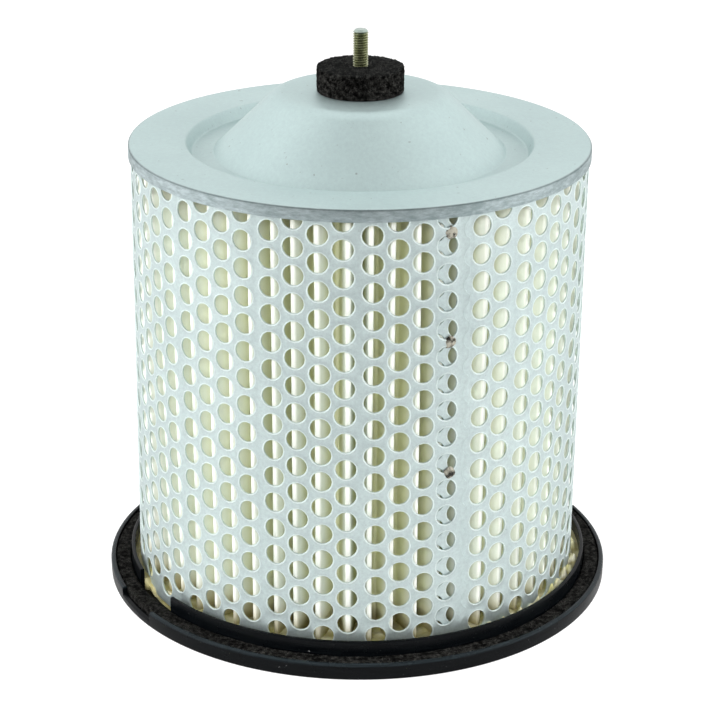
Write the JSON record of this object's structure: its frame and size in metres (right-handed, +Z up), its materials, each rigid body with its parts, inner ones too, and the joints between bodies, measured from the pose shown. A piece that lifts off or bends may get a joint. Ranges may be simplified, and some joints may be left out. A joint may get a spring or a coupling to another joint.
{
  "type": "motorcycle air filter",
  "caption": "Round motorcycle air filter: pleated paper in a perforated steel shell, under a domed cap with a clamping stud, on a moulded base ring with a foam seal.",
  "frame": {"origin": "centre of the base ring's underside", "axes": "+Z up along the filter's axis, out through the stud; -Y is the side that the picture shows"},
  "size_m": [0.1722, 0.1722, 0.1898],
  "materials": {
    "ring_plastic": "satin moulded black",
    "foam": "open-cell foam, matt",
    "glue": "set adhesive, slightly glossy",
    "core_steel": "zinc-coated sheet",
    "filter_paper": "matt, fibrous",
    "shell_steel": "zinc-coated sheet, satin",
    "cap_steel": "zinc-coated sheet, fine spangle",
    "stud_steel": "yellow zinc plating"
  },
  "bodies": {
    "root": {"base_ring": "ring_plastic", "seal_foam": "foam", "bottom_potting": "glue", "inner_tube": "core_steel", "pleated_media": "filter_paper", "outer_shell": "shell_steel", "top_potting": "glue", "top_cap": "cap_steel", "stud": "stud_steel", "foam_washer": "foam"}
  },
  "joints": []
}
